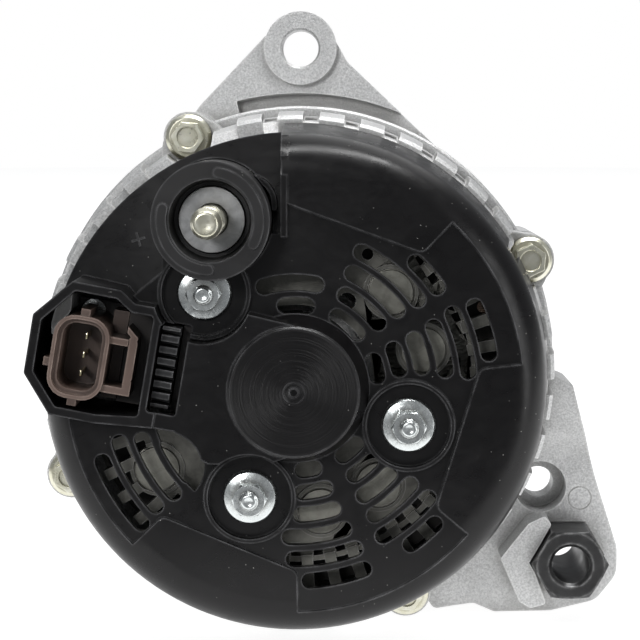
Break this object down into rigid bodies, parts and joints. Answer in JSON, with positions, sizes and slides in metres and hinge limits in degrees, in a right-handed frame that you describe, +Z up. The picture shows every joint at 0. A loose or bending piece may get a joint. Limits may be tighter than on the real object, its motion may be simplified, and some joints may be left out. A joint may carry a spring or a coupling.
{
  "type": "car alternator",
  "caption": "Belt-driven alternator: two cast housings on a stator, claw rotor, rear cover over rectifier and regulator, pulley, upper ear and slide-bush foot.",
  "frame": {"origin": "on the shaft's axis, in the centre plane of the belt's track on the pulley", "axes": "+Y along the shaft from the plastic rear cover towards the pulley, +Z up towards the single-hole upper ear, +X towards the foot with the slide bush (to the right when looking at the rear cover)"},
  "size_m": [0.1652, 0.167, 0.1736],
  "materials": {
    "black_plastic": "satin, fine moulded grain",
    "cast_aluminium": "sand-textured die casting",
    "zinc_steel": "bright zinc plate",
    "chromate_steel": "pale yellow chromate over zinc",
    "bearing_steel": "ground steel",
    "copper": "enamelled copper",
    "dark_aluminium": "black coated",
    "brown_plastic": "glass-filled nylon",
    "tin_brass": "tinned brass",
    "carbon": "sintered carbon",
    "plate_aluminium": "dull grey-olive plate",
    "diode_metal": "tinned, dull",
    "lamination": "varnished sheet stack",
    "pole_steel": "forged steel",
    "bobbin_plastic": "nylon",
    "fan_steel": "pressed sheet",
    "slip_copper": "turned copper",
    "pulley_steel": "black coated steel",
    "black_steel": "black phosphate"
  },
  "bodies": {
    "frame": {"rear_cover": "black_plastic", "cover_studs": "zinc_steel", "cover_nuts": "zinc_steel", "b_terminal_insulator": "black_plastic", "b_terminal_stud": "chromate_steel", "b_terminal_washer": "zinc_steel", "regulator_body": "black_plastic", "regulator_heatsink": "dark_aluminium", "connector_housing": "brown_plastic", "connector_pins": "tin_brass", "brush_holder": "black_plastic", "brush_spring_positive": "bearing_steel", "brush_spring_negative": "bearing_steel", "regulator_screws": "zinc_steel", "rectifier_positive_plate": "plate_aluminium", "rectifier_negative_plate": "plate_aluminium", "positive_diodes": "diode_metal", "negative_diodes": "diode_metal", "rectifier_terminal_block": "black_plastic", "phase_leads": "copper", "rear_housing": "cast_aluminium", "front_housing": "cast_aluminium", "through_bolts": "chromate_steel", "stator_core": "lamination", "stator_winding_rear": "copper", "stator_winding_front": "copper", "slot_conductors": "copper", "rear_bearing_outer": "bearing_steel", "front_bearing_outer": "bearing_steel", "bearing_retainer": "zinc_steel", "retainer_screws": "zinc_steel"},
    "rotor": {"rotor_shaft": "bearing_steel", "rear_pole_wheel": "pole_steel", "front_pole_wheel": "pole_steel", "field_coil": "copper", "coil_bobbin": "bobbin_plastic", "rear_fan": "fan_steel", "front_fan": "fan_steel", "slip_ring_insulator": "bobbin_plastic", "slip_rings": "slip_copper", "shaft_spacer": "bearing_steel", "pulley": "pulley_steel", "pulley_nut": "zinc_steel", "rear_bearing_inner": "bearing_steel", "front_bearing_inner": "bearing_steel"},
    "front_cage": {"front_bearing_balls": "bearing_steel"},
    "rear_cage": {"rear_bearing_balls": "bearing_steel"},
    "brush_plus": {"brush_positive": "carbon"},
    "brush_minus": {"brush_negative": "carbon"},
    "slide_bush": {"foot_bush": "black_steel"}
  },
  "joints": [
    {"name": "rotor_spin", "type": "hinge", "parent": "frame", "child": "rotor", "pos_m": [0, 0, 0], "axis": [0, 1, 0], "continuous": true},
    {"name": "front_cage_spin", "type": "hinge", "parent": "frame", "child": "front_cage", "pos_m": [0, -0.027, 0], "axis": [0, 1, 0], "continuous": true},
    {"name": "rear_cage_spin", "type": "hinge", "parent": "frame", "child": "rear_cage", "pos_m": [0, -0.0827, 0], "axis": [0, 1, 0], "continuous": true},
    {"name": "brush_plus_slide", "type": "slide", "parent": "frame", "child": "brush_plus", "axis": [-0.9848, 0, 0.1736], "range_m": [0, 0.002], "stiffness_N_per_m": 300, "springref_m": -0.008, "deforming": ["brush_spring_positive"]},
    {"name": "brush_minus_slide", "type": "slide", "parent": "frame", "child": "brush_minus", "axis": [-0.9848, 0, 0.1736], "range_m": [0, 0.002], "stiffness_N_per_m": 300, "springref_m": -0.008, "deforming": ["brush_spring_negative"]},
    {"name": "slide_bush_travel", "type": "slide", "parent": "frame", "child": "slide_bush", "axis": [0, -1, 0], "range_m": [0, 0.002]}
  ],
  "couplings": [
    {"joint": "front_cage_spin", "follows": "rotor_spin", "ratio": 0.3719},
    {"joint": "rear_cage_spin", "follows": "rotor_spin", "ratio": 0.384}
  ]
}
